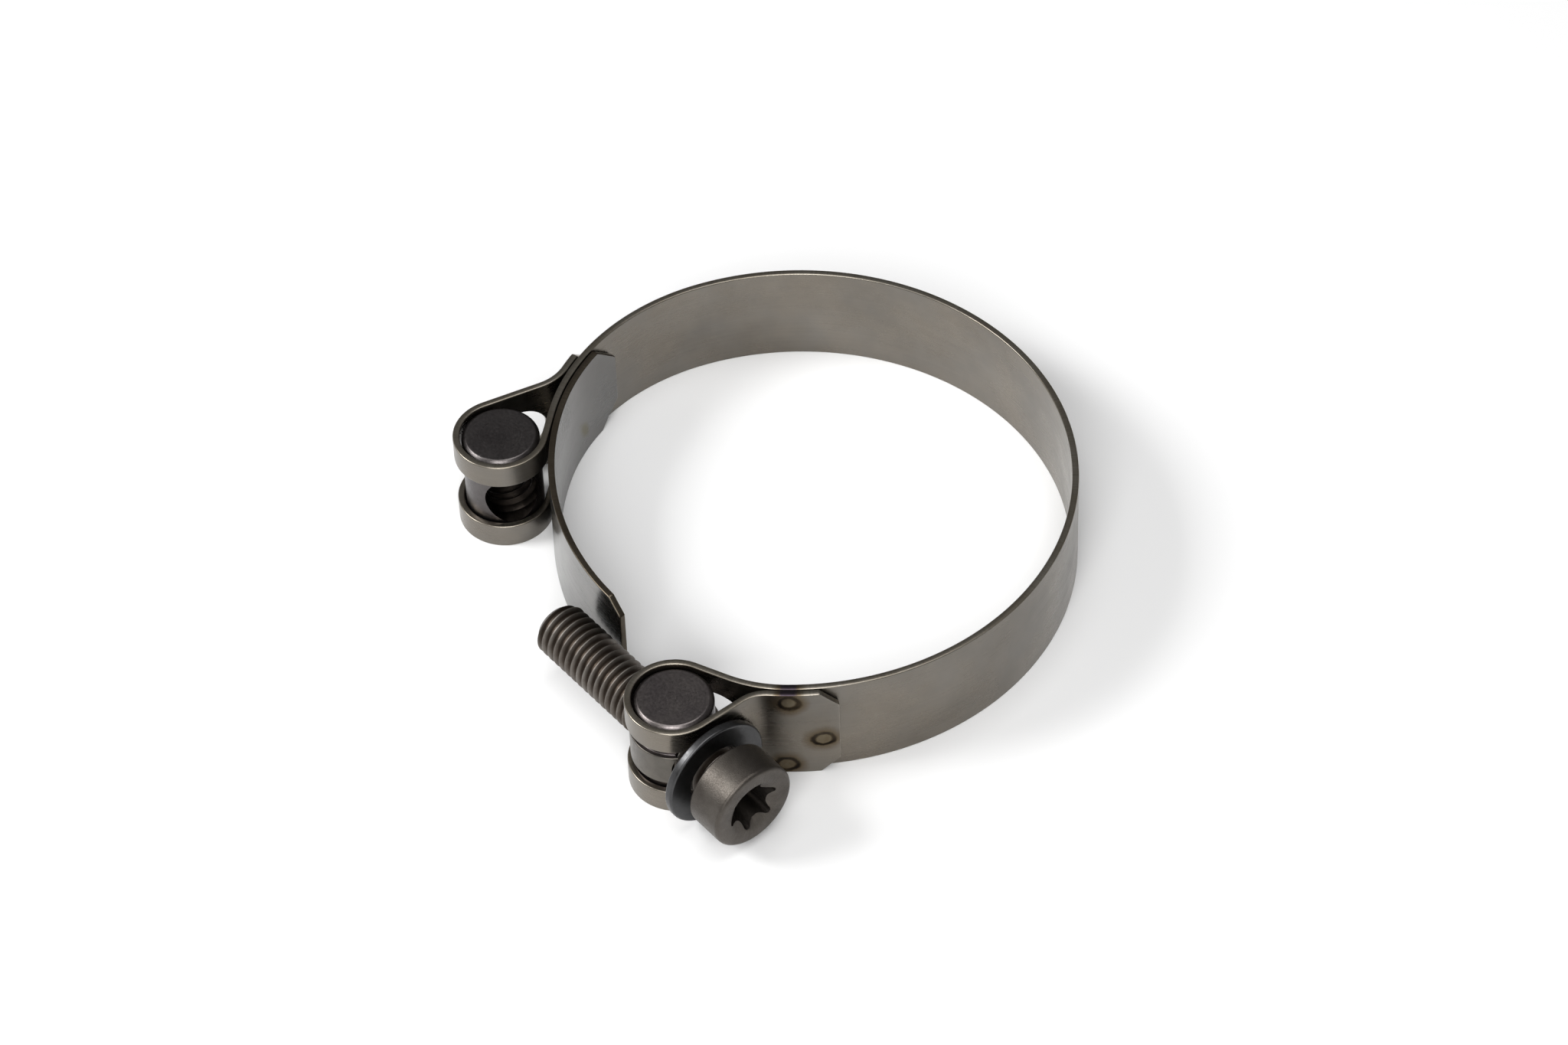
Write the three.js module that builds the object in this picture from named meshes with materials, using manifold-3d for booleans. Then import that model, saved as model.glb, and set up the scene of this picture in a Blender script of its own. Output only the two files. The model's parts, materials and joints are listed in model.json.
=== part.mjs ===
// Trunnion hose clamp: an open ring of spring-hard strip whose folded ends hold two pins, with a screw
// through the front pin that draws the rear pin towards it. Millimetres, degrees, +Z along the hose's axis.
//
// The strip bends as the clamp closes, so it is made as five rigid lengths joined at four bend lines, and
// the bridge under the gap as two. Every other piece is one solid.

import * as THREE from 'three';
import { mergeVertices } from 'three/addons/utils/BufferGeometryUtils.js';
import Module from 'manifold-3d';

// ---------- driving dimensions ----------

const BAND_WIDTH = 16;
const STRIP_THICKNESS = 0.8;
const RING_RADIUS = 38.85; // to the middle of the strip
const GAP = 0.3; // left between pieces that touch

const REAR_PIN = new THREE.Vector2(-26, -32.7);
const FRONT_PIN = new THREE.Vector2(28.5, -32.7);
const PIN_RADIUS = 5.5;
const PIN_HEIGHT = 15.6;
const PIN_CHAMFER = 0.6;

// Bend lines of the ring, as angles round it: rear fold, rear, back and front lengths, front fold.
const BEND_LINES = [170, 109.3, 48.7, -12];

// Where the ring tightens towards each pin, and where the tail comes back onto it.
const REAR_FOLD = { turn: 1, bendFrom: 174, bendRadius: 32, contact: 217, tailBend: 7, tailEnd: 207.9 };
const FRONT_FOLD = { turn: -1, bendFrom: -29, bendRadius: 18.9, contact: -32, tailBend: 5, tailEnd: -18.5 };
const TAIL_CHAMFER = 2.6;

const SLOT_HEIGHT = 8.4; // the slot in each fold, for the screw
const REAR_SLOT = [3.4, 5]; // how far the slot runs past the pin, up the leg and up the tail
const FRONT_SLOT = [3.4, 3.4];

const BRIDGE_START = 201.9;
const BRIDGE_STRAIGHTENS = 229;
const BRIDGE_LONG_RADIUS = 41.98;
const BRIDGE_END = 284;
const BRIDGE_BEND_LINE = 245;
const BRIDGE_ROOT_CHAMFER = 3.8;
const BRIDGE_TIP_CHAMFER = 2.3;

const REAR_HOLE_RADIUS = 3.4;
const REAR_HOLE_ANGLE = -8;
const COUNTERSINK_RADIUS = 4.2;
const COUNTERSINK_DEPTH = 0.9;

const SADDLE_RADIUS = 6.2; // the thicker middle of the front trunnion
const SADDLE_BOTTOM = -2.8;
const SADDLE_TOP = 2.45;
const FRONT_HOLE_RADIUS = 4.3;

const SCREW_ANGLE = 12.7; // the head's direction from the front pin
const SCREW_RADIUS = 4; // M8
const SCREW_LENGTH = 36.9;
const HEAD_RADIUS = 6.5;
const HEAD_HEIGHT = 5.8;
const HEAD_FROM_PIN = 10.85;
const SOCKET_OUTER = 3.95; // six-lobe socket, across its points and its flats
const SOCKET_INNER = 2.82;
const SOCKET_DEPTH = 4.4;
const SOCKET_LOBES = 6;
const SOCKET_TURN = -18;

const WASHER_RADIUS = 8;
const WASHER_THICKNESS = 1.3;
const WASHER_FROM_PIN = 7.5;

const FACET_DEGREES = 5; // of the strip's bends
const ROUND_FACETS = 40; // of the turned pieces
const FACETS_PER_LOBE = 8; // of the socket

// ---------- materials ----------

const steel = (color, roughness) => new THREE.MeshStandardMaterial({ color, roughness, metalness: 1 });
const bandSteel = steel(0x8d887e, 0.38);
const bridgeSteel = steel(0x86847f, 0.34);
const pinSteel = steel(0x4c4746, 0.45);
const screwSteel = steel(0x5a554d, 0.55);
const washerSteel = steel(0x6b6a68, 0.42);

// ---------- plane geometry of the strip ----------

const RING_CENTRE = new THREE.Vector2(0, 0);
const FOLD_RADIUS = PIN_RADIUS + GAP + STRIP_THICKNESS / 2;
const LAYER = STRIP_THICKNESS + GAP; // from the middle of one strip to the middle of the next

const toRadians = THREE.MathUtils.degToRad;

const direction = (angle) => new THREE.Vector2(Math.cos(toRadians(angle)), Math.sin(toRadians(angle)));

const polar = (centre, radius, angle) => centre.clone().addScaledVector(direction(angle), radius);

const angleOf = (from, to) => THREE.MathUtils.radToDeg(Math.atan2(to.y - from.y, to.x - from.x));

// Stations along an arc, each with the direction to its left. turn is 1 anticlockwise and -1 clockwise.
function arc(centre, radius, from, to, turn) {
  const sweep = THREE.MathUtils.euclideanModulo((to - from) * turn, 360);
  const steps = Math.max(1, Math.ceil(sweep / FACET_DEGREES));
  return Array.from({ length: steps + 1 }, (_, i) => {
    const angle = from + (turn * sweep * i) / steps;
    return { point: polar(centre, radius, angle), left: direction(angle).multiplyScalar(-turn) };
  });
}

// The angle on the first circle where a line leaves it that touches the second circle on the other side.
function crossTangent(first, firstRadius, second, secondRadius, side) {
  const lean = Math.acos((firstRadius + secondRadius) / first.distanceTo(second));
  return angleOf(first, second) + side * THREE.MathUtils.radToDeg(lean);
}

// The centre of the tighter bend in the ring before a fold.
const bendCentre = ({ bendFrom, bendRadius }) => polar(RING_CENTRE, RING_RADIUS - bendRadius, bendFrom);

// The middle line of one folded end: ring, tighter bend, pin, reverse bend, and the tail on the ring.
function foldLine(pin, fold, ringFrom) {
  const { turn, bendFrom, bendRadius, contact, tailBend, tailEnd } = fold;
  const bend = bendCentre(fold);
  const tailCentre = turn > 0 ? bend : RING_CENTRE;
  const tailRadius = (turn > 0 ? bendRadius : RING_RADIUS) + LAYER;
  const reverse = polar(tailCentre, tailRadius + tailBend, contact);
  const leave = crossTangent(bend, bendRadius, pin, FOLD_RADIUS, -turn);
  const release = crossTangent(pin, FOLD_RADIUS, reverse, tailBend, turn);
  const round = arc(pin, FOLD_RADIUS, leave + 180, release, -turn);
  return {
    round,
    line: [
      ...arc(RING_CENTRE, RING_RADIUS, ringFrom, bendFrom, turn),
      ...arc(bend, bendRadius, bendFrom, leave, turn),
      ...round,
      ...arc(reverse, tailBend, release + 180, contact + 180, turn),
      ...arc(tailCentre, tailRadius, contact, tailEnd, -turn),
    ],
  };
}

// ---------- solids ----------

const wasm = await Module();
wasm.setup();

function solidOf(geometry) {
  const bare = geometry.clone();
  bare.deleteAttribute('normal');
  bare.deleteAttribute('uv');
  const merged = mergeVertices(bare, 1e-4);
  return new wasm.Manifold(
    new wasm.Mesh({
      numProp: 3,
      vertProperties: merged.attributes.position.array,
      triVerts: new Uint32Array(merged.index.array),
    }),
  );
}

function geometryOf(solid) {
  const { vertProperties, triVerts } = solid.getMesh();
  const geometry = new THREE.BufferGeometry();
  geometry.setAttribute('position', new THREE.BufferAttribute(new Float32Array(vertProperties), 3));
  geometry.setIndex(new THREE.BufferAttribute(new Uint32Array(triVerts), 1));
  geometry.computeVertexNormals();
  return geometry;
}

const cut = (geometry, ...tools) =>
  geometryOf(tools.reduce((solid, tool) => solid.subtract(solidOf(tool)), solidOf(geometry)));

// A strip of some thickness and height along a line of stations, standing on the middle plane.
function stripAlong(line, thickness, height) {
  const side = (distance) => line.map(({ point, left }) => point.clone().addScaledVector(left, distance));
  const outline = new THREE.Shape([...side(-thickness / 2), ...side(thickness / 2).reverse()]);
  const geometry = new THREE.ExtrudeGeometry(outline, { depth: height, bevelEnabled: false });
  return geometry.translate(0, 0, -height / 2);
}

// Places a tool at a station: its X runs along the strip, its Y across the thickness, its Z up.
function atStation(tool, { point, left }, z = 0) {
  tool.rotateZ(Math.atan2(left.y, left.x) - Math.PI / 2);
  return tool.translate(point.x, point.y, z);
}

// Tools that take the two corners off the end of a strip.
function cornerTools(station, chamfer) {
  const side = chamfer * Math.SQRT2;
  return [-1, 1].map((end) => {
    const tool = new THREE.BoxGeometry(side, LAYER, side).rotateY(Math.PI / 4);
    return atStation(tool, station, (end * BAND_WIDTH) / 2);
  });
}

// A station moved along the strip.
function shifted({ point, left }, distance) {
  const along = new THREE.Vector2(left.y, -left.x);
  return { point: point.clone().addScaledVector(along, distance), left };
}

// Tools for the slot in a fold: a strip round the pin and a round end on the leg and on the tail, where
// the strip may already be curving.
function slotTools(round, [onLeg, onTail]) {
  const start = shifted(round[0], -onLeg);
  const end = shifted(round[round.length - 1], onTail);
  const ends = [start, end].map((station) =>
    atStation(new THREE.CylinderGeometry(SLOT_HEIGHT / 2, SLOT_HEIGHT / 2, 2 * LAYER, ROUND_FACETS), station),
  );
  return [stripAlong([start, ...round, end], LAYER, SLOT_HEIGHT), ...ends];
}

// A turned piece from its profile of [radius, distance along the axis] pairs, with the axis along Z.
function turned(profile) {
  const points = profile.map(([radius, along]) => new THREE.Vector2(radius, along));
  return new THREE.LatheGeometry(points, ROUND_FACETS).rotateX(Math.PI / 2);
}

// A straight round tool along X.
const crossTool = (radius, endRadius, length) =>
  new THREE.CylinderGeometry(endRadius, radius, length, ROUND_FACETS).rotateZ(-Math.PI / 2);

function sixLobeTool() {
  const middle = (SOCKET_OUTER + SOCKET_INNER) / 2;
  const swing = (SOCKET_OUTER - SOCKET_INNER) / 2;
  const count = SOCKET_LOBES * FACETS_PER_LOBE;
  const outline = Array.from({ length: count }, (_, i) => {
    const angle = (360 * i) / count;
    return direction(angle).multiplyScalar(middle + swing * Math.cos(toRadians(SOCKET_LOBES * angle)));
  });
  const shape = new THREE.Shape(outline);
  const tool = new THREE.ExtrudeGeometry(shape, { depth: HEAD_HEIGHT, bevelEnabled: false });
  return tool.rotateZ(toRadians(SOCKET_TURN));
}

// ---------- pieces ----------

// Half the gap at a bend line, as an angle of the ring.
const BEND_GAP = THREE.MathUtils.radToDeg(GAP / 2 / RING_RADIUS);

const ringLength = (from, to) =>
  stripAlong(arc(RING_CENTRE, RING_RADIUS, from - BEND_GAP, to + BEND_GAP, -1), STRIP_THICKNESS, BAND_WIDTH);

function foldedEnd(pin, fold, slot, bendLine) {
  const { line, round } = foldLine(pin, fold, bendLine + fold.turn * BEND_GAP);
  const strip = stripAlong(line, STRIP_THICKNESS, BAND_WIDTH);
  return cut(strip, ...slotTools(round, slot), ...cornerTools(line[line.length - 1], TAIL_CHAMFER));
}

// The bridge lies one layer inside the rear fold's bend, then runs on in a longer curve to its free end.
const bridgeInner = bendCentre(REAR_FOLD);
const bridgeShort = REAR_FOLD.bendRadius - LAYER;
const bridgeOuter = polar(bridgeInner, bridgeShort - BRIDGE_LONG_RADIUS, BRIDGE_STRAIGHTENS);
const bridgeArc = (from, to) => arc(bridgeOuter, BRIDGE_LONG_RADIUS, from, to, 1);

function bridgeRoot() {
  const line = [
    ...arc(bridgeInner, bridgeShort, BRIDGE_START, BRIDGE_STRAIGHTENS, 1),
    ...bridgeArc(BRIDGE_STRAIGHTENS, BRIDGE_BEND_LINE - BEND_GAP),
  ];
  return cut(stripAlong(line, STRIP_THICKNESS, BAND_WIDTH), ...cornerTools(line[0], BRIDGE_ROOT_CHAMFER));
}

function bridgeTip() {
  const line = bridgeArc(BRIDGE_BEND_LINE + BEND_GAP, BRIDGE_END);
  const strip = stripAlong(line, STRIP_THICKNESS, BAND_WIDTH);
  return cut(strip, ...cornerTools(line[line.length - 1], BRIDGE_TIP_CHAMFER));
}

// A pin with chamfered ends. The middle of its profile is straight unless it is given.
function pinWith(middle = []) {
  const half = PIN_HEIGHT / 2;
  return turned([
    [0, -half],
    [PIN_RADIUS - PIN_CHAMFER, -half],
    [PIN_RADIUS, PIN_CHAMFER - half],
    ...middle,
    [PIN_RADIUS, half - PIN_CHAMFER],
    [PIN_RADIUS - PIN_CHAMFER, half],
    [0, half],
  ]);
}

function rearTrunnion() {
  const hole = crossTool(REAR_HOLE_RADIUS, REAR_HOLE_RADIUS, 4 * PIN_RADIUS);
  const widest = 2 * COUNTERSINK_RADIUS - REAR_HOLE_RADIUS;
  const mouths = [0, Math.PI].map((turn) => {
    const mouth = crossTool(REAR_HOLE_RADIUS, widest, 2 * COUNTERSINK_DEPTH);
    return mouth.translate(PIN_RADIUS, 0, 0).rotateZ(turn);
  });
  return cut(pinWith(), hole, ...mouths);
}

function frontTrunnion() {
  const saddle = [
    [PIN_RADIUS, SADDLE_BOTTOM],
    [SADDLE_RADIUS, SADDLE_BOTTOM],
    [SADDLE_RADIUS, SADDLE_TOP],
    [PIN_RADIUS, SADDLE_TOP],
  ];
  return cut(pinWith(saddle), crossTool(FRONT_HOLE_RADIUS, FRONT_HOLE_RADIUS, 4 * SADDLE_RADIUS));
}

// Turned along Z with the underside of the head at zero and the head above it, then laid along X.
function screw() {
  const tip = 0.9;
  const rim = 0.5;
  const body = turned([
    [0, -SCREW_LENGTH],
    [SCREW_RADIUS - tip, -SCREW_LENGTH],
    [SCREW_RADIUS, tip - SCREW_LENGTH],
    [SCREW_RADIUS, 0],
    [HEAD_RADIUS, 0],
    [HEAD_RADIUS, HEAD_HEIGHT - rim],
    [HEAD_RADIUS - rim, HEAD_HEIGHT],
    [0, HEAD_HEIGHT],
  ]);
  return cut(body, sixLobeTool().translate(0, 0, HEAD_HEIGHT - SOCKET_DEPTH)).rotateY(Math.PI / 2);
}

function washer() {
  const rim = 0.25;
  const hole = SCREW_RADIUS + GAP;
  const ring = turned([
    [hole, 0],
    [WASHER_RADIUS - rim, 0],
    [WASHER_RADIUS, rim],
    [WASHER_RADIUS, WASHER_THICKNESS - rim],
    [WASHER_RADIUS - rim, WASHER_THICKNESS],
    [hole, WASHER_THICKNESS],
    [hole, 0],
  ]);
  return ring.rotateY(Math.PI / 2);
}

// ---------- assembly ----------

function add(parent, name, geometry, material) {
  const mesh = new THREE.Mesh(geometry, material);
  mesh.name = name;
  parent.add(mesh);
  return mesh;
}

// A group that stands on a pin's axis, turned to an angle.
function onPin(pin, angle) {
  const group = new THREE.Group();
  group.position.set(pin.x, pin.y, 0);
  group.rotation.z = toRadians(angle);
  return group;
}

function strips() {
  const group = new THREE.Group();
  const [rearLine, rearMiddle, frontMiddle, frontLine] = BEND_LINES;
  add(group, 'band_rear_fold', foldedEnd(REAR_PIN, REAR_FOLD, REAR_SLOT, rearLine), bandSteel);
  add(group, 'band_rear_length', ringLength(rearLine, rearMiddle), bandSteel);
  add(group, 'band_back_length', ringLength(rearMiddle, frontMiddle), bandSteel);
  add(group, 'band_front_length', ringLength(frontMiddle, frontLine), bandSteel);
  add(group, 'band_front_fold', foldedEnd(FRONT_PIN, FRONT_FOLD, FRONT_SLOT, frontLine), bandSteel);
  add(group, 'bridge_root', bridgeRoot(), bridgeSteel);
  add(group, 'bridge_tip', bridgeTip(), bridgeSteel);
  return group;
}

function frontFittings() {
  const group = onPin(FRONT_PIN, SCREW_ANGLE);
  add(group, 'front_trunnion', frontTrunnion(), pinSteel);
  add(group, 'screw', screw(), screwSteel).position.x = HEAD_FROM_PIN;
  add(group, 'washer', washer(), washerSteel).position.x = WASHER_FROM_PIN;
  return group;
}

function rearFittings() {
  const group = onPin(REAR_PIN, REAR_HOLE_ANGLE);
  add(group, 'rear_trunnion', rearTrunnion(), pinSteel);
  return group;
}

// The row's origin is under the middle of the clamp, on the surface that it lies on.
const clamp = new THREE.Group();
clamp.add(strips(), frontFittings(), rearFittings());
clamp.updateMatrixWorld(true);
const middle = new THREE.Box3().setFromObject(clamp, true).getCenter(new THREE.Vector3());
clamp.position.set(-middle.x, -middle.y, BAND_WIDTH / 2);

export default clamp;
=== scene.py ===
"""A trunnion hose clamp lying on a plain table, unscrewed.

The strips are cut flat and bent along their lines, the pins, washer and screw are turned, and the thread is
swept as a helix. Pieces are made in millimetres from the middle of the ring, then placed in metres.
"""

import json
import math

import bmesh
import bpy
import numpy as np
from mathutils import Matrix, Vector

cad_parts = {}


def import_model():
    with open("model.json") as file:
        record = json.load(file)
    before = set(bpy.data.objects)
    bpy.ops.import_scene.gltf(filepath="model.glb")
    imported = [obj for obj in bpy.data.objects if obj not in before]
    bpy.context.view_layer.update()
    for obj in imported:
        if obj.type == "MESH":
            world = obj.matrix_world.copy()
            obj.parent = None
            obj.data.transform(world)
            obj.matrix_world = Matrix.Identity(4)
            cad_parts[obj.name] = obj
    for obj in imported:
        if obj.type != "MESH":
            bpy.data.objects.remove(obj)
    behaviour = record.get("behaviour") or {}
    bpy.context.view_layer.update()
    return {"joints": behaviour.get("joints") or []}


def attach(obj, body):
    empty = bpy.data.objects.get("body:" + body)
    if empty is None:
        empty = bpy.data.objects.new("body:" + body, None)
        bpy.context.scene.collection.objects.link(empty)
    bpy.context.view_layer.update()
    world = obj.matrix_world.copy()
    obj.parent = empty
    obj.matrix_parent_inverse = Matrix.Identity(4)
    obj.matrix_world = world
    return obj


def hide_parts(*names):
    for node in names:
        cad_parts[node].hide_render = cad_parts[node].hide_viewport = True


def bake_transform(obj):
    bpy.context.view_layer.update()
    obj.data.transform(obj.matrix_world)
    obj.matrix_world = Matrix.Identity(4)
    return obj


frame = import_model()
joints = {joint["name"]: joint for joint in frame["joints"]}

# ---------- sizes in millimetres, angles in degrees ----------

MM = 0.001
STRIP_WIDTH = 16
STRIP_THICKNESS = 0.95
LAYER = 1.1  # from the middle of one strip to the middle of the next
STRIP_CORNER = 0.17  # radius of the strip's long corners

RING_RADIUS = 38.85
REAR_SEAM, BACK_SEAM, FRONT_SEAM = 139.65, 79, 18.35  # ring angles where lengths of strip meet
REAR_BEND_ANGLE = 170  # where the ring meets the rear fold

PIN_RADIUS = 5.5
PIN_HEIGHT = 15.6
PIN_CHAMFER = 0.6
FOLD_RADIUS = 6.2

# The slot in a fold runs on past the pin: so far up the leg, and so far up the tail.
REAR_FOLD = dict(
    turn=1, bend_from=174, bend_radius=32, contact=217, tail_bend=7, tail_end=207.9, slot=(3.4, 5)
)
FRONT_FOLD = dict(
    turn=-1, bend_from=-29, bend_radius=18.9, contact=-32, tail_bend=5, tail_end=-18.5, slot=(3.4, 3.4)
)
TAIL_CORNER = 2.6
SLOT_HEIGHT = 8.3

BRIDGE_START = 201.9
BRIDGE_STRAIGHTENS = 229
BRIDGE_LONG_RADIUS = 41.98
BRIDGE_END = 284
BRIDGE_CORNERS = (3.8, 2.3)  # at the welded root and at the free tip

SADDLE_RADIUS = 6.2
SADDLE_LOW, SADDLE_HIGH = -2.8, 2.45
CROSS_HOLE_RADIUS = 4.3
REAR_HOLE_ANGLE = -8

THREAD_RADIUS = 3.95
THREAD_PITCH = 1.25
THREAD_DEPTH = 0.72
SCREW_LENGTH = 36.9
HEAD_RADIUS = 6.45
HEAD_HEIGHT = 5.8
HEAD_FROM_PIN = 10.85
SOCKET_POINT = 3.95
SOCKET_FLAT = 2.82
SOCKET_DEPTH = 4.4
SOCKET_TURN = -18
WASHER_RADIUS = 8
WASHER_HOLE = 4.3
WASHER_THICKNESS = 1.3
WASHER_FROM_PIN = 7.5

BEND_STEP = 0.45  # between the cross lines that let a blank bend
ROUND_STEPS = 72

# Welds on the front tail's face, as ring angle and height.
WELDS = [(-28.2, 6.4), (-21.7, -1.2), (-28.9, -6.2)]


# ---------- places ----------


def toward(angle):
    return Vector((math.cos(math.radians(angle)), math.sin(math.radians(angle))))


def pivot(name):
    return Vector(joints[name]["pos_m"])


ring_place = pivot("rear_bend") - (toward(REAR_BEND_ANGLE) * RING_RADIUS * MM).to_3d()
HOME = Matrix.Translation(ring_place) @ Matrix.Scale(MM, 4)
rear_pin = ((pivot("rear_trunnion_turn") - ring_place) / MM).to_2d()
front_pin = ((pivot("front_trunnion_swivel") - ring_place) / MM).to_2d()
ring_centre = Vector((0, 0))
screw_axis = Vector(joints["screw_slide"]["axis"])
screw_angle = math.degrees(math.atan2(screw_axis.y, screw_axis.x))


def on_pin(pin, angle):
    """The place of a fitting: the pin's axis is Z and the screw's way is X."""
    return HOME @ Matrix.Translation(pin.to_3d()) @ Matrix.Rotation(math.radians(angle), 4, "Z")


def along_screw(distance):
    """The place of a turned piece whose axis is the screw's, some distance from the front pin."""
    lay = Matrix.Rotation(math.radians(90), 4, "Y")
    return on_pin(front_pin, screw_angle) @ Matrix.Translation((distance, 0, 0)) @ lay


# ---------- the line of a bent strip ----------


class StripLine:
    """The middle line of a strip in plan: arcs, with straight runs between them."""

    spacing = 0.2

    def __init__(self):
        self.points, self.lefts, self.marks = [], [], {}

    def arc(self, centre, radius, start, end, turn, mark=None):
        sweep = (end - start) * turn % 360
        steps = max(2, math.ceil(math.radians(sweep) * radius / self.spacing))
        first = len(self.points)
        for i in range(steps + 1):
            way = toward(start + turn * sweep * i / steps)
            self.points.append(centre + radius * way)
            self.lefts.append(-turn * way)
        if mark:
            self.marks[mark] = (first, len(self.points) - 1)
        return self

    def lengths(self):
        steps = np.diff(np.array(self.points), axis=0)
        return np.concatenate(([0], np.cumsum(np.hypot(*steps.T))))

    def span(self, mark):
        return [float(self.lengths()[i]) for i in self.marks[mark]]

    def bend(self, bm):
        """Bends a flat blank: its X becomes the way along the line, and its Y goes to the left."""
        along, points, lefts = self.lengths(), np.array(self.points), np.array(self.lefts)
        for vert in bm.verts:
            x, y, z = vert.co
            place = [np.interp(x, along, points[:, i]) for i in (0, 1)]
            left = Vector([np.interp(x, along, lefts[:, i]) for i in (0, 1)]).normalized()
            vert.co = (place[0] + y * left.x, place[1] + y * left.y, z)


def tangent_angle(first, first_radius, second, second_radius, side):
    """Where a line leaves the first circle to touch the second on its other side."""
    gap = second - first
    lean = math.acos((first_radius + second_radius) / gap.length)
    return math.degrees(math.atan2(gap.y, gap.x) + side * lean)


def bend_centre(fold):
    return (RING_RADIUS - fold["bend_radius"]) * toward(fold["bend_from"])


def fold_line(pin, fold, ring_from):
    """Ring, tighter bend, round the pin, reverse bend, and the tail back on the ring."""
    turn, bend, contact = fold["turn"], bend_centre(fold), fold["contact"]
    tail_centre = bend if turn > 0 else ring_centre
    tail_radius = (fold["bend_radius"] if turn > 0 else RING_RADIUS) + LAYER
    reverse = tail_centre + (tail_radius + fold["tail_bend"]) * toward(contact)
    leave = tangent_angle(bend, fold["bend_radius"], pin, FOLD_RADIUS, -turn)
    release = tangent_angle(pin, FOLD_RADIUS, reverse, fold["tail_bend"], turn)
    line = StripLine()
    line.arc(ring_centre, RING_RADIUS, ring_from, fold["bend_from"], turn, "ring")
    line.arc(bend, fold["bend_radius"], fold["bend_from"], leave, turn, "bend")
    line.arc(pin, FOLD_RADIUS, leave + 180, release, -turn, "fold")
    line.arc(reverse, fold["tail_bend"], release + 180, contact + 180, turn)
    return line.arc(tail_centre, tail_radius, contact, fold["tail_end"], -turn, "tail")


def bridge_line():
    inner = bend_centre(REAR_FOLD)
    short = REAR_FOLD["bend_radius"] - LAYER
    outer = inner + (short - BRIDGE_LONG_RADIUS) * toward(BRIDGE_STRAIGHTENS)
    line = StripLine().arc(inner, short, BRIDGE_START, BRIDGE_STRAIGHTENS, 1, "root")
    return line.arc(outer, BRIDGE_LONG_RADIUS, BRIDGE_STRAIGHTENS, BRIDGE_END, 1)


# ---------- working the metal ----------


def carve(bm, tool, operation="DIFFERENCE"):
    """Takes the tool's solid out of a solid, or by another operation joins them or keeps their overlap."""
    shapes = []
    for source in (bm, tool):
        mesh = bpy.data.meshes.new("work")
        source.to_mesh(mesh)
        shapes.append(bpy.data.objects.new("work", mesh))
        bpy.context.scene.collection.objects.link(shapes[-1])
    modifier = shapes[0].modifiers.new("carve", "BOOLEAN")
    modifier.operation, modifier.solver, modifier.object = operation, "MANIFOLD", shapes[1]
    made = shapes[0].evaluated_get(bpy.context.evaluated_depsgraph_get())
    bm.clear()
    bm.from_mesh(made.to_mesh())
    for shape in shapes:
        mesh = shape.data
        bpy.data.objects.remove(shape)
        bpy.data.meshes.remove(mesh)
    tool.free()
    return bm


def cut_across(bm, place, way, drop=False):
    """A clean line across every face at a plane, and if asked, nothing left beyond it."""
    everything = bm.verts[:] + bm.edges[:] + bm.faces[:]
    cut = bmesh.ops.bisect_plane(
        bm, geom=everything, dist=1e-6, plane_co=place, plane_no=way, clear_outer=drop
    )
    return [item for item in cut["geom_cut"] if isinstance(item, bmesh.types.BMEdge)]


def soften(bm, size, steps, wanted=lambda edge: True, sharper_than=30):
    """Rounds the sharp corners that are wanted."""
    corners = [
        edge
        for edge in bm.edges
        if len(edge.link_faces) == 2
        and edge.calc_face_angle() > math.radians(sharper_than)
        and wanted(edge)
    ]
    bmesh.ops.bevel(
        bm,
        geom=corners,
        offset=size,
        offset_type="OFFSET",
        segments=steps,
        profile=0.5,
        affect="EDGES",
        material=-1,
        clamp_overlap=True,
    )


def bar(low, high):
    """A square bar between two corners."""
    bm = bmesh.new()
    size = Vector(high) - Vector(low)
    middle = (Vector(high) + Vector(low)) / 2
    bmesh.ops.create_cube(bm, size=1, matrix=Matrix.Translation(middle) @ Matrix.Diagonal((*size, 1)))
    return bm


def middle_of(edge):
    return (edge.verts[0].co + edge.verts[1].co) / 2


def runs_across(edge):
    """Whether an edge of a flat blank runs through its thickness."""
    return abs(edge.verts[0].co.y - edge.verts[1].co.y) > STRIP_THICKNESS / 2


def slot_cutter(start, end):
    """A bar with round ends that mills the slot for the screw."""
    reach, half = SLOT_HEIGHT / 2, STRIP_THICKNESS
    cutter = bar((start - reach, -half, -reach), (end + reach, half, reach))
    soften(cutter, reach * 0.999, 16, runs_across)
    return cutter


def strip(line, corners, slot=None, count_from=0, count_way=1):
    """A strip sheared from flat stock, slotted, with its corners eased, then bent along its line.

    Its map counts millimetres along the strip and across it, so that the rolling marks run on from one
    length of strip to the next. An end with no corner to ease is a seam, and stays sharp."""
    length, half, side = float(line.lengths()[-1]), STRIP_THICKNESS / 2, STRIP_WIDTH / 2
    bm = bar((0, -half, -side), (length, half, side))
    seams = []
    for end, corner in zip((0, length), corners):
        if corner:
            soften(bm, corner, 1, lambda edge: runs_across(edge) and abs(middle_of(edge).x - end) < 0.01)
        else:
            seams.append(end)
    cut_across(bm, (0, 0, 0), (0, 0, 1))
    if slot:
        carve(bm, slot_cutter(*slot))
    at_seam = lambda edge: any(all(abs(v.co.x - seam) < 0.01 for v in edge.verts) for seam in seams)
    soften(bm, STRIP_CORNER, 3, lambda edge: not at_seam(edge), 40)
    for i in range(1, int(length / BEND_STEP)):
        cut_across(bm, (i * BEND_STEP, 0, 0), (1, 0, 0))
    bm.normal_update()
    rolled = bm.loops.layers.uv.new("strip")
    for face in bm.faces:
        face.material_index = 0 if abs(face.normal.y) > 0.95 else 1
        for loop in face.loops:
            loop[rolled].uv = (count_from + count_way * loop.vert.co.x, loop.vert.co.z)
    line.bend(bm)
    bmesh.ops.recalc_face_normals(bm, faces=bm.faces[:])
    return bm


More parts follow.
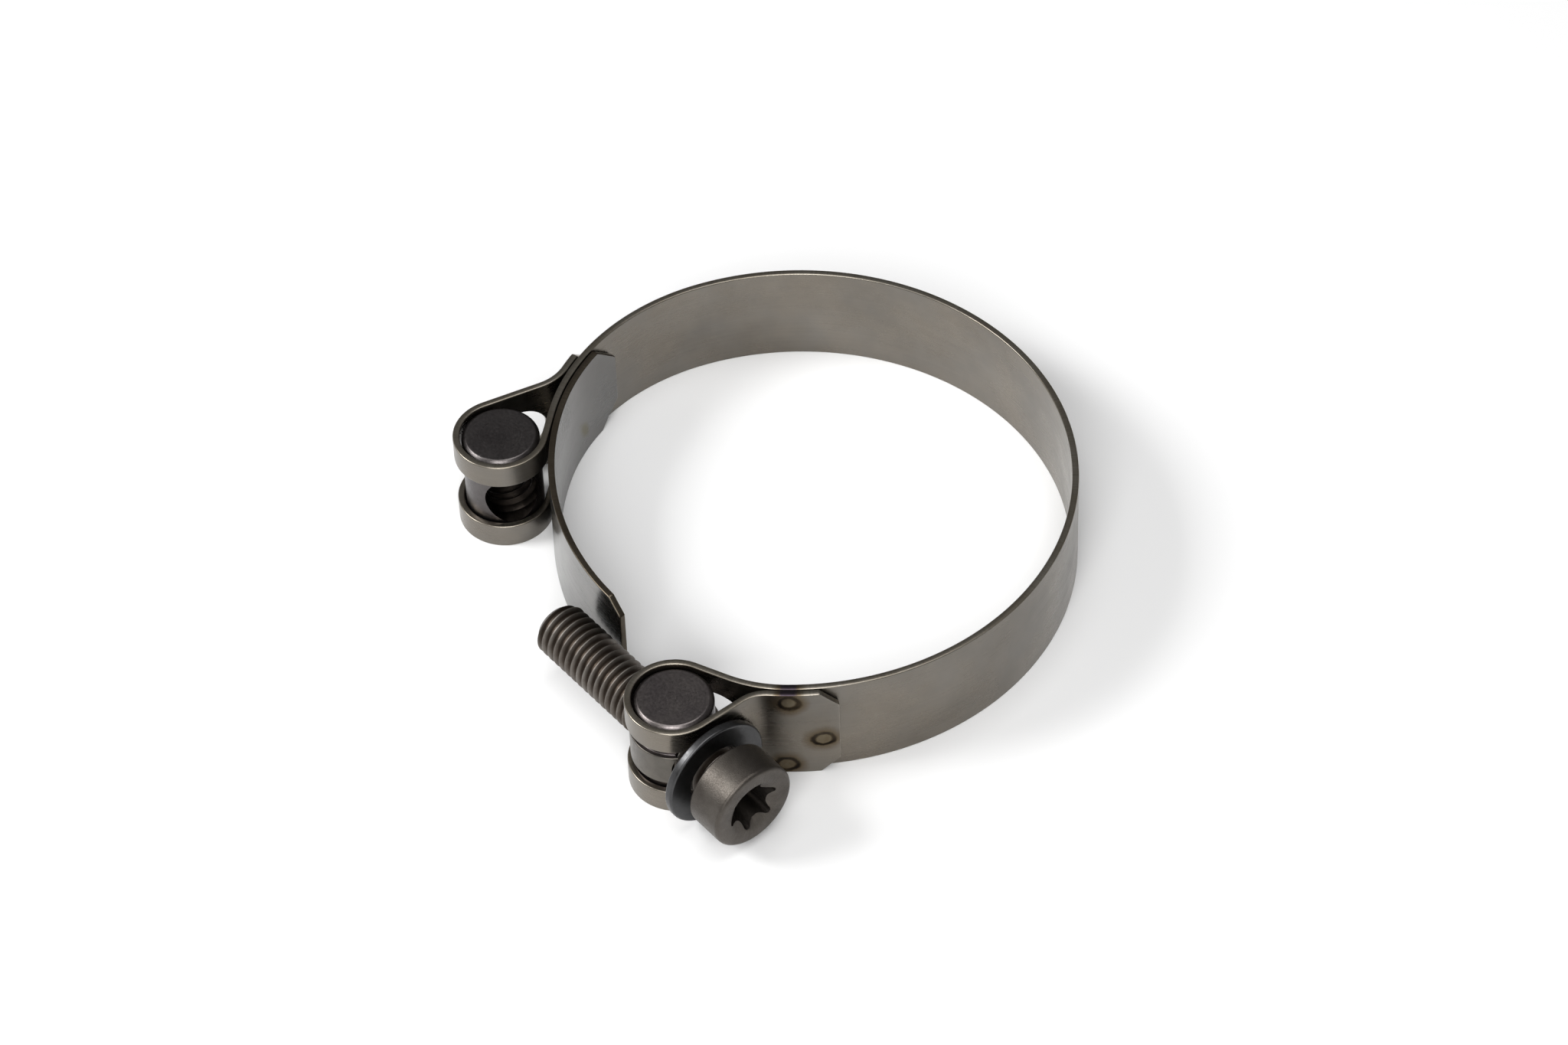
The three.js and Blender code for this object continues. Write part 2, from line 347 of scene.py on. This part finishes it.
def turned(profile):
    """A piece turned about Z from its profile of (radius, height) points, which runs from axis to axis."""
    bm = bmesh.new()
    verts = [bm.verts.new((radius, 0, height)) for radius, height in profile]
    edges = [bm.edges.new(pair) for pair in zip(verts, verts[1:])]
    bmesh.ops.spin(
        bm,
        geom=verts + edges,
        cent=(0, 0, 0),
        axis=(0, 0, 1),
        angle=2 * math.pi,
        steps=ROUND_STEPS,
        use_merge=True,
    )
    bmesh.ops.remove_doubles(bm, verts=bm.verts[:], dist=1e-4)
    bmesh.ops.recalc_face_normals(bm, faces=bm.faces[:])
    return bm


def rod_along_x(radius, start, end, end_radius=None):
    """A round tool, or a cone, along X."""
    bm = turned([(0, 0), (radius, 0), (end_radius or radius, end - start), (0, end - start)])
    bm.transform(Matrix.Translation((start, 0, 0)) @ Matrix.Rotation(math.radians(90), 4, "Y"))
    return bm


def thread(radius, depth, low, high):
    """A right-hand thread along Z: one pitch's profile, swept as a helix and faced off at both ends."""
    pitch, steps = THREAD_PITCH, 48
    root, crest, flank = pitch * 0.2, pitch * 0.14, pitch * 0.33
    inner, below = radius - depth, low - 2 * pitch
    turns = math.ceil((high - low) / pitch) + 3
    profile = [
        (inner, 0),
        (inner, root),
        (inner + 0.12, root + 0.1),
        (radius - 0.06, root + flank - 0.03),
        (radius, root + flank + 0.03),
        (radius, root + flank + crest - 0.03),
        (radius - 0.06, root + flank + crest + 0.03),
        (inner + 0.12, pitch - 0.1),
        (inner, pitch),
    ]
    bm = bmesh.new()
    verts = [bm.verts.new((r, 0, below + z)) for r, z in profile]
    edges = [bm.edges.new(pair) for pair in zip(verts, verts[1:])]
    bmesh.ops.spin(
        bm,
        geom=verts + edges,
        cent=(0, 0, 0),
        axis=(0, 0, 1),
        dvec=(0, 0, pitch / steps),
        angle=2 * math.pi * turns,
        steps=steps * turns,
        use_merge=False,
    )
    bmesh.ops.remove_doubles(bm, verts=bm.verts[:], dist=1e-3)
    for height, way in ((low, -1), (high, 1)):
        rim = cut_across(bm, (0, 0, height), (0, 0, way), drop=True)
        bmesh.ops.edgeloop_fill(bm, edges=rim)
    bmesh.ops.recalc_face_normals(bm, faces=bm.faces[:])
    return bm


def six_lobe_cutter(base, depth):
    """A driver bit's section, as round points with round hollows between them, drawn out along Z."""
    point = 0.6
    out = SOCKET_POINT - point
    # The hollow's radius makes it run smoothly into the points.
    hollow = (out**2 + SOCKET_FLAT**2 - math.sqrt(3) * out * SOCKET_FLAT - point**2) / (
        2 * point + math.sqrt(3) * out - 2 * SOCKET_FLAT
    )
    away = SOCKET_FLAT + hollow
    bm = bmesh.new()
    bmesh.ops.create_circle(bm, cap_ends=True, segments=144, radius=1)
    for vert in bm.verts:
        angle = math.atan2(vert.co.y, vert.co.x)
        from_point = abs((angle + math.pi / 6) % (math.pi / 3) - math.pi / 6)
        from_hollow = math.pi / 6 - from_point
        on_hollow = hollow**2 - (away * math.sin(from_hollow)) ** 2
        on_point = point**2 - (out * math.sin(from_point)) ** 2
        reach = [out * math.cos(from_point) + math.sqrt(on_point)] if on_point > 0 else []
        if on_hollow > 0:
            reach.append(away * math.cos(from_hollow) - math.sqrt(on_hollow))
        vert.co = vert.co.normalized() * min(reach)
    drawn = bmesh.ops.extrude_face_region(bm, geom=bm.faces[:])
    moved = [item for item in drawn["geom"] if isinstance(item, bmesh.types.BMVert)]
    bmesh.ops.translate(bm, verts=moved, vec=(0, 0, depth))
    bmesh.ops.translate(bm, verts=bm.verts[:], vec=(0, 0, base))
    bmesh.ops.recalc_face_normals(bm, faces=bm.faces[:])
    return bm


# ---------- finishes ----------


class Finish:
    """A steel's node tree, built by short calls."""

    def __init__(self, name):
        self.material = bpy.data.materials.new(name)
        self.material.use_nodes = True
        self.nodes = self.material.node_tree.nodes
        self.links = self.material.node_tree.links
        self.shader = self.nodes["Principled BSDF"]
        self.shader.inputs["Metallic"].default_value = 1
        self.place = self.nodes.new("ShaderNodeTexCoord").outputs["Object"]

    def add(self, kind, inputs, output=0, **settings):
        made = self.nodes.new("ShaderNode" + kind)
        for key, value in settings.items():
            setattr(made, key, value)
        for key, value in inputs.items():
            if isinstance(value, bpy.types.NodeSocket):
                self.links.new(value, made.inputs[key])
            else:
                made.inputs[key].default_value = value
        return made.outputs[output]

    def noise(self, where, scale, detail=3, roughness=0.55):
        inputs = {"Vector": where, "Scale": scale, "Detail": detail, "Roughness": roughness}
        return self.add("TexNoise", inputs)

    def stretch(self, where, scale):
        return self.add("Mapping", {"Vector": where, "Scale": scale})

    def math(self, operation, a, b=0.0, clamp=False):
        return self.add("Math", {0: a, 1: b}, operation=operation, use_clamp=clamp)

    def between(self, value, low, high, to_low=0.0, to_high=1.0):
        inputs = {"Value": value, "From Min": low, "From Max": high, "To Min": to_low, "To Max": to_high}
        return self.add("MapRange", inputs)

    def mix(self, amount, first, second, blend="MIX"):
        inputs = {0: amount, 6: first, 7: second}
        return self.add("Mix", inputs, output=2, data_type="RGBA", blend_type=blend)

    def bump(self, height, distance, strength=1.0, under=None):
        inputs = {"Height": height, "Distance": distance, "Strength": strength}
        if under:
            inputs["Normal"] = under
        return self.add("Bump", inputs)

    def surface(self, colour, roughness, normal=None):
        for key, value in (("Base Color", colour), ("Roughness", roughness), ("Normal", normal)):
            if isinstance(value, bpy.types.NodeSocket):
                self.links.new(value, self.shader.inputs[key])
            elif value is not None:
                self.shader.inputs[key].default_value = value
        return self.material


def shade(red, green, blue):
    return (red, green, blue, 1.0)


def rolled_steel(name, warm, cool, stain, gloss, marks=None):
    """Cold-rolled stainless: cloudy, with fine lines along the strip and a light stain here and there."""
    steel = Finish(name)
    where = steel.add("UVMap", {}, uv_map="strip")
    cloud = steel.noise(steel.place, 110, 5, 0.6)
    lines = steel.noise(steel.stretch(where, (0.05, 2.4, 1)), 1, 3, 0.5)
    grain = steel.noise(steel.place, 3200, 2)
    blotch = steel.between(steel.noise(steel.place, 40, 3, 0.55), 0.5, 0.8)
    colour = steel.mix(steel.between(cloud, 0.35, 0.65), warm, cool)
    colour = steel.mix(steel.math("MULTIPLY", blotch, 0.5), colour, stain)
    tone = steel.between(lines, 0.3, 0.7, 0.965, 1.03)
    patches = steel.noise(steel.place, 75, 4, 0.6)
    tone = steel.math("MULTIPLY", tone, steel.between(patches, 0.32, 0.68, 0.87, 1.13))
    colour = steel.mix(1.0, colour, steel.add("CombineColor", {0: tone, 1: tone, 2: tone}), "MULTIPLY")
    rough = steel.between(cloud, 0.3, 0.7, gloss - 0.02, gloss + 0.1)
    rough = steel.math("ADD", rough, steel.between(lines, 0.35, 0.65, -0.03, 0.03))
    height = steel.math("ADD", steel.math("MULTIPLY", lines, 0.6), steel.math("MULTIPLY", grain, 0.4))
    normal = steel.bump(height, 0.000003, 0.5)
    if marks:
        colour, normal = marks(steel, where, colour, normal)
    return steel.surface(colour, rough, normal)


def sheared_steel(name, face, dull, scored, heat=None):
    """The strip's sheared edge: finely scored across, browner than the rolled face."""
    steel = Finish(name)
    where = steel.add("UVMap", {}, uv_map="strip")
    score = steel.noise(steel.stretch(where, (3.5, 0.4, 1)), 1, 3)
    cloud = steel.noise(steel.place, 160, 4)
    colour = steel.mix(steel.between(cloud, 0.35, 0.65), face, dull)
    colour = steel.mix(steel.between(score, 0.35, 0.8, 0, 0.5), colour, scored)
    if heat:
        colour = heat(steel, where, colour)
    return steel.surface(colour, 0.32, steel.bump(score, 0.000008, 0.4))


def from_spot(steel, where, spot, stretch=(1, 1, 0)):
    """Millimetres on the strip's map from a spot, with the two ways stretched."""
    gap = steel.add("VectorMath", {0: where, 1: (*spot, 0)}, operation="SUBTRACT")
    scaled = steel.add("VectorMath", {0: gap, 1: stretch}, operation="MULTIPLY")
    return steel.add("VectorMath", {0: scaled}, output="Value", operation="LENGTH")


def weld_marks(steel, where, colour, normal, welds):
    """Spot welds: a sunk spot with a dark ring round it and straw-coloured heat tint outside that."""
    nearest = 99.0
    for weld in welds:
        nearest = steel.math("MINIMUM", from_spot(steel, where, weld, (0.95, 1.08, 0)), nearest)
    ripple = steel.noise(steel.place, 430, 3)
    nearest = steel.math("ADD", nearest, steel.between(ripple, 0.3, 0.7, -0.22, 0.22))
    straw = steel.between(nearest, 3.0, 1.5)
    colour = steel.mix(steel.math("MULTIPLY", straw, 0.85), colour, shade(0.09, 0.06, 0.026))
    from_ring = steel.math("ABSOLUTE", steel.math("SUBTRACT", nearest, 1.3))
    strength = steel.between(steel.noise(steel.place, 300, 2), 0.35, 0.6, 0.7, 1)
    ring = steel.between(from_ring, 0.46, 0.14, 0, strength)
    colour = steel.mix(ring, colour, shade(0.008, 0.005, 0.003))
    core = steel.between(nearest, 1.05, 0.85, 0, steel.between(ripple, 0.35, 0.65, 0.15, 0.8))
    colour = steel.mix(core, colour, shade(0.17, 0.145, 0.1))
    sunk = steel.between(nearest, 1.7, 0.9, 0, -1)
    return colour, steel.bump(sunk, 0.00006, 0.8, normal)


# ---------- pieces ----------


def place_piece(name, bm, place, materials, nodes):
    """Makes the object with its place in its mesh, smooth but for its true corners."""
    bm.transform(place)
    for face in bm.faces:
        face.smooth = True
    for edge in bm.edges:
        edge.smooth = len(edge.link_faces) == 2 and edge.calc_face_angle() < math.radians(50)
    mesh = bpy.data.meshes.new(name)
    bm.to_mesh(mesh)
    bm.free()
    for material in materials:
        mesh.materials.append(material)
    piece = bpy.data.objects.new(name, mesh)
    bpy.context.scene.collection.objects.link(piece)
    even = piece.modifiers.new("even shading", "WEIGHTED_NORMAL")
    even.keep_sharp = True
    even.weight = 90
    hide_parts(*nodes)
    return piece


def ring_span(start, end):
    return math.radians(abs(end - start)) * RING_RADIUS


def ring_strip(name, seam, materials, nodes):
    """A length of ring from the back seam to one side."""
    turn = 1 if seam > BACK_SEAM else -1
    line = StripLine().arc(ring_centre, RING_RADIUS, BACK_SEAM, seam, turn)
    bm = strip(line, (0, 0), count_way=turn)
    piece = place_piece(name, bm, HOME, materials, nodes)
    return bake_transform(piece)


def folded_strip(name, pin, fold, seam, materials, nodes):
    """An end of the band from a seam to its tail, slotted where it goes round its pin."""
    line = fold_line(pin, fold, seam)
    leg, tail = line.span("fold")
    slot = (leg - fold["slot"][0], tail + fold["slot"][1])
    count = ring_span(BACK_SEAM, seam) * fold["turn"]
    bm = strip(line, (0, TAIL_CORNER), slot, count, fold["turn"])
    piece = place_piece(name, bm, HOME, materials, nodes)
    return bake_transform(piece)


def bridge_strip(materials):
    line = bridge_line()
    bm = strip(line, BRIDGE_CORNERS)
    piece = place_piece("bridge", bm, HOME, materials, ["bridge_root", "bridge_tip"])
    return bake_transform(piece)


def pin_blank(middle=()):
    half = PIN_HEIGHT / 2
    edge = PIN_RADIUS - PIN_CHAMFER
    shoulder = half - PIN_CHAMFER
    ends = [(0, -half), (edge, -half), (PIN_RADIUS, -shoulder)]
    return turned([*ends, *middle, *((radius, -height) for radius, height in reversed(ends))])


def paint_shade_in_bore(bm):
    """Gives the faces that look in at the axis of a cross hole, which runs along X, the second finish,
    which paints shade into the bore.
    """
    bm.normal_update()
    for face in bm.faces:
        middle = face.calc_center_median()
        if face.normal.dot((0, middle.y, middle.z)) < -0.3:
            face.material_index = 1


def front_trunnion(materials):
    rim = [(SADDLE_RADIUS, SADDLE_LOW), (SADDLE_RADIUS, SADDLE_HIGH)]
    saddle = [(PIN_RADIUS, SADDLE_LOW), *rim, (PIN_RADIUS, SADDLE_HIGH)]
    bm = pin_blank(saddle)
    soften(bm, 0.16, 3)
    carve(bm, rod_along_x(CROSS_HOLE_RADIUS, -10, 10))
    paint_shade_in_bore(bm)
    for face in bm.faces:
        middle = face.calc_center_median()
        on_rim = math.hypot(middle.x, middle.y) > PIN_RADIUS + 0.1
        if SADDLE_LOW < middle.z < SADDLE_HIGH and on_rim:
            face.material_index = 2
    place = on_pin(front_pin, screw_angle)
    piece = place_piece("front_trunnion_pin", bm, place, materials, ["front_trunnion"])
    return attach(piece, "front_pin")


def rear_trunnion(materials):
    bm = pin_blank()
    soften(bm, 0.16, 3)
    tap = thread(4, 0.66, -8, 8)
    tap.transform(Matrix.Rotation(math.radians(90), 4, "Y"))
    carve(bm, tap)
    for way in (1, -1):
        mouth = rod_along_x(3.42, 2.5, 6.3, 4.75)
        mouth.transform(Matrix.Diagonal((way, way, 1, 1)))
        carve(bm, mouth)
    paint_shade_in_bore(bm)
    place = on_pin(rear_pin, REAR_HOLE_ANGLE)
    piece = place_piece("rear_trunnion_pin", bm, place, materials, ["rear_trunnion"])
    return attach(piece, "rear_pin")


def screw(material):
    """Along Z, with the underside of the head at zero."""
    tip = 0.9
    blank = [(0, -SCREW_LENGTH), (THREAD_RADIUS - tip, -SCREW_LENGTH), (THREAD_RADIUS, tip - SCREW_LENGTH)]
    bm = thread(THREAD_RADIUS, THREAD_DEPTH, -SCREW_LENGTH - 1, 1)
    carve(bm, turned([*blank, (THREAD_RADIUS, 0.5), (0, 0.5)]), "INTERSECT")
    head = turned([(0, 0), (HEAD_RADIUS, 0), (HEAD_RADIUS, HEAD_HEIGHT), (0, HEAD_HEIGHT)])
    soften(head, 0.6, 5, lambda edge: middle_of(edge).z > HEAD_HEIGHT / 2)
    soften(head, 0.3, 3, lambda edge: middle_of(edge).z < 0.1)
    cutter = six_lobe_cutter(HEAD_HEIGHT - SOCKET_DEPTH, HEAD_HEIGHT)
    cutter.transform(Matrix.Rotation(math.radians(SOCKET_TURN), 4, "Z"))
    carve(head, cutter)
    low, high = HEAD_HEIGHT - 0.9, HEAD_HEIGHT + 0.1  # the countersink at the socket's mouth
    carve(head, turned([(0, low), (SOCKET_FLAT + 0.1, low), (SOCKET_POINT + 0.35, high), (0, high)]))
    carve(bm, head, "UNION")
    crest = bm.verts.layers.float.new("crest")  # from 0 at the root of the thread to 1, and 2 on the head
    for vert in bm.verts:
        radius = math.hypot(vert.co.x, vert.co.y)
        vert[crest] = 2 if vert.co.z > -0.01 else (radius - THREAD_RADIUS + THREAD_DEPTH) / THREAD_DEPTH
    piece = place_piece("cap_screw", bm, along_screw(HEAD_FROM_PIN), [material], ["screw"])
    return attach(piece, "screw")


def washer(material):
    below = [(WASHER_HOLE, 0), (WASHER_RADIUS, 0)]
    above = [(WASHER_RADIUS, WASHER_THICKNESS), (WASHER_HOLE, WASHER_THICKNESS)]
    bm = turned([*below, *above, below[0]])
    soften(bm, 0.34, 5)
    place = along_screw(WASHER_FROM_PIN)
    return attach(place_piece("flat_washer", bm, place, [material], ["washer"]), "washer")


# ---------- the clamp's own finishes ----------


def on_tail(angle):
    """Where a ring angle falls on the front tail, on the strip's map."""
    start, _ = fold_line(front_pin, FRONT_FOLD, FRONT_SEAM).span("tail")
    along = math.radians(angle - FRONT_FOLD["contact"]) * (RING_RADIUS + LAYER)
    return -(ring_span(BACK_SEAM, FRONT_SEAM) + start + along)


def tail_welds(steel, where, colour, normal):
    places = [(on_tail(angle), height) for angle, height in WELDS]
    return weld_marks(steel, where, colour, normal, places)


def weld_heat(steel, where, colour):
    """Where a weld near the edge has blued the edges of both layers, with straw-brown outside the blue."""
    ripple = steel.between(steel.noise(steel.place, 500, 3), 0.3, 0.7, -0.25, 0.25)
    angle, height = WELDS[0]
    for along in (on_tail(angle), -ring_span(BACK_SEAM, angle)):
        distance = steel.math("ADD", from_spot(steel, where, (along, height + 1.6), (1, 0.7, 0)), ripple)
        colour = steel.mix(steel.between(distance, 2.5, 1.3, 0, 0.85), colour, shade(0.075, 0.052, 0.028))
        colour = steel.mix(steel.between(distance, 1.25, 0.8, 0, 0.9), colour, shade(0.042, 0.033, 0.045))
    return colour


def bridge_smudge(steel, where, colour, normal):
    """A slanting yellow stain on the inside of the bridge."""
    turned_map = steel.add("Mapping", {"Vector": where, "Location": (-8.8, 3, 0)})
    turned_map = steel.add("Mapping", {"Vector": turned_map, "Rotation": (0, 0, math.radians(28))})
    ripple = steel.between(steel.noise(steel.place, 400, 3), 0.3, 0.7, -0.5, 0.5)
    distance = steel.math("ADD", from_spot(steel, turned_map, (0, 0), (1.5, 0.6, 0)), ripple)
    return steel.mix(steel.between(distance, 1.6, 0.5, 0, 0.85), colour, shade(0.098, 0.083, 0.036)), normal


def turned_steel(name, dark, light, gloss, grain_size, pin=None, depth=0.00001):
    """Turned steel with a thin dark film, worn lighter in places. A pin's ends show the tool's rings."""
    steel = Finish(name)
    cloud = steel.noise(steel.place, 260, 5, 0.6)
    grain = steel.noise(steel.place, grain_size, 3, 0.6)
    colour = steel.mix(steel.between(cloud, 0.35, 0.7), dark, light)
    rough = steel.between(grain, 0.3, 0.7, gloss - 0.06, gloss + 0.08)
    normal = steel.bump(grain, depth, 0.7)
    if pin is not None:
        flat = steel.add("VectorMath", {0: steel.place, 1: (1, 1, 0)}, operation="MULTIPLY")
        axis = (HOME @ pin.to_3d()) * Vector((1, 1, 0))
        out = steel.add("VectorMath", {0: flat, 1: axis}, output="Value", operation="DISTANCE")
        rings = steel.add("TexNoise", {"W": out, "Scale": 5200.0, "Detail": 2.0}, noise_dimensions="1D")
        normal = steel.bump(rings, 0.000003, 0.5, normal)
        rough = steel.math("ADD", rough, steel.between(rings, 0.3, 0.7, -0.02, 0.02))
    return steel.surface(colour, rough, normal)


def painted_shade_bore_steel(name):
    """The inside of a cross hole, painted near black as painted shade deep in the hole."""
    steel = Finish(name)
    cloud = steel.noise(steel.place, 500, 4)
    black, brown = shade(0.009, 0.0075, 0.0065), shade(0.022, 0.018, 0.015)
    colour = steel.mix(steel.between(cloud, 0.4, 0.7), black, brown)
    return steel.surface(colour, steel.between(cloud, 0.3, 0.7, 0.32, 0.5), steel.bump(cloud, 0.00002, 0.5))


def thread_steel(name):
    """The screw: a blasted-looking head, with painted shade in the roots of the thread and a painted
    highlight on its crests.
    """
    steel = Finish(name)
    crest = steel.add("Attribute", {}, output="Fac", attribute_name="crest")
    cloud = steel.noise(steel.place, 300, 5, 0.6)
    grain = steel.noise(steel.place, 5200, 3, 0.7)
    worn = steel.between(cloud, 0.35, 0.7)
    thread = steel.mix(worn, shade(0.16, 0.142, 0.127), shade(0.22, 0.204, 0.185))
    head = steel.mix(worn, shade(0.075, 0.066, 0.058), shade(0.112, 0.101, 0.089))
    patchy = steel.between(cloud, 0.3, 0.6, 0.6, 1)
    painted_crest_light = steel.math("MULTIPLY", steel.between(crest, 0.3, 0.95), patchy, True)
    # Painted shade in the roots of the thread, rising to a painted highlight on its crests.
    colour = steel.mix(painted_crest_light, shade(0.06, 0.047, 0.037), thread)
    colour = steel.mix(steel.between(crest, 1.2, 1.8), colour, head)
    rough = steel.between(grain, 0.3, 0.7, 0.36, 0.54)
    return steel.surface(colour, rough, steel.bump(grain, 0.00003, 1))


band_tones = (shade(0.19, 0.17, 0.144), shade(0.184, 0.172, 0.154), shade(0.15, 0.128, 0.1))
edge_tones = (shade(0.3, 0.275, 0.235), shade(0.24, 0.212, 0.17), shade(0.15, 0.13, 0.105))
band_finish = [
    rolled_steel("rolled band", *band_tones, 0.26),
    sheared_steel("sheared edge", *edge_tones),
]
welded_finish = [
    rolled_steel("rolled band, welded end", *band_tones, 0.26, tail_welds),
    sheared_steel("sheared edge, welded end", *edge_tones, weld_heat),
]
bridge_tones = (shade(0.15, 0.145, 0.138), shade(0.156, 0.153, 0.148), shade(0.135, 0.127, 0.11))
bridge_edge_tones = (shade(0.15, 0.125, 0.095), shade(0.11, 0.09, 0.066), shade(0.06, 0.048, 0.035))
bridge_finish = [
    rolled_steel("rolled bridge", *bridge_tones, 0.2, bridge_smudge),
    sheared_steel("sheared edge, bridge", *bridge_edge_tones),
]
# Painted shade: the inside of the cross holes is painted near black.
painted_shade_bore = painted_shade_bore_steel("bore, painted shade")
front_film = (shade(0.13, 0.115, 0.115), shade(0.17, 0.152, 0.146))
saddle_tones = (shade(0.1, 0.092, 0.081), shade(0.14, 0.128, 0.112))
front_pin_finish = [
    turned_steel("filmed front pin", *front_film, 0.34, 2600, front_pin, 0.000005),
    painted_shade_bore,
    turned_steel("bright saddle", *saddle_tones, 0.34, 1500),
]
# The rear pin has the front pin's filmed steel painted darker: painted shade.
rear_film_and_painted_shade = (shade(0.085, 0.077, 0.077), shade(0.12, 0.11, 0.108))
rear_pin_finish = [
    turned_steel("filmed rear pin, painted shade", *rear_film_and_painted_shade, 0.34, 2600, rear_pin, 0.000005),
    painted_shade_bore,
]
washer_tones = (shade(0.066, 0.066, 0.068), shade(0.086, 0.086, 0.087))
washer_steel = turned_steel("turned washer", *washer_tones, 0.36, 2200, depth=0.000002)
screw_steel = thread_steel("grained screw")

ring_strip(
    "band_rear_side",
    REAR_SEAM,
    band_finish,
    nodes=["band_back_length", "band_rear_length"],
)
ring_strip(
    "band_front_side",
    FRONT_SEAM,
    band_finish,
    nodes=["band_front_length"],
)
folded_strip(
    "band_rear_end",
    rear_pin,
    REAR_FOLD,
    REAR_SEAM,
    band_finish,
    nodes=["band_rear_fold"],
)
folded_strip(
    "band_front_end",
    front_pin,
    FRONT_FOLD,
    FRONT_SEAM,
    welded_finish,
    nodes=["band_front_fold"],
)
bridge_strip(bridge_finish)
front_trunnion(front_pin_finish)
rear_trunnion(rear_pin_finish)
screw(screw_steel)
washer(washer_steel)


# ---------- table, light and camera ----------


def aimed(location, target):
    return (Vector(target) - Vector(location)).to_track_quat("-Z", "Y")


def table():
    bm = bmesh.new()
    bmesh.ops.create_grid(bm, x_segments=1, y_segments=1, size=3)
    mesh = bpy.data.meshes.new("table_top")
    bm.to_mesh(mesh)
    bm.free()
    top = bpy.data.objects.new("table_top", mesh)
    bpy.context.scene.collection.objects.link(top)
    paint = bpy.data.materials.new("white table")
    paint.use_nodes = True
    paint.node_tree.nodes["Principled BSDF"].inputs["Base Color"].default_value = shade(0.86, 0.86, 0.86)
    paint.node_tree.nodes["Principled BSDF"].inputs["Roughness"].default_value = 0.9
    mesh.materials.append(paint)


def softbox(name, plan_angle, elevation, distance, size, power):
    flat = toward(plan_angle) * math.cos(math.radians(elevation)) * distance
    location = Vector((flat.x, flat.y, math.sin(math.radians(elevation)) * distance))
    light = bpy.data.lights.new(name, "AREA")
    light.shape, light.size, light.energy = "SQUARE", size, power
    lamp = bpy.data.objects.new(name, light)
    lamp.location = location
    lamp.rotation_mode = "QUATERNION"
    lamp.rotation_quaternion = aimed(location, (0, 0, 0))
    bpy.context.scene.collection.objects.link(lamp)


def world(strength):
    air = bpy.data.worlds.new("studio")
    bpy.context.scene.world = air
    air.use_nodes = True
    air.node_tree.nodes["Background"].inputs["Color"].default_value = shade(1, 1, 1)
    air.node_tree.nodes["Background"].inputs["Strength"].default_value = strength


def camera():
    """Looks down on the ring from beside the screw's head, turned a little on its own axis."""
    data = bpy.data.cameras.new("camera")
    data.sensor_fit, data.sensor_width, data.lens = "HORIZONTAL", 36, 129.9
    data.clip_start, data.clip_end = 0.01, 10
    seen = bpy.data.objects.new("camera", data)
    rotation = Matrix.Identity(4)
    for angle, axis in ((64.5032, "Z"), (90 - 47.9365, "X"), (-2.0701, "Z")):
        rotation = rotation @ Matrix.Rotation(math.radians(angle), 4, axis)
    seen.matrix_world = Matrix.Translation((0.473109, -0.227654, 0.591694)) @ rotation
    bpy.context.scene.collection.objects.link(seen)
    bpy.context.scene.camera = seen


table()
world(0.15)
softbox("left softbox", -116, 40, 1.1, 0.4, 8)
softbox("right softbox", -34, 42, 1.2, 0.6, 9)
softbox("top softbox", 20, 84, 1.3, 0.9, 7.5)
camera()
bpy.context.scene.view_settings.view_transform = "Standard"

bpy.context.view_layer.update()
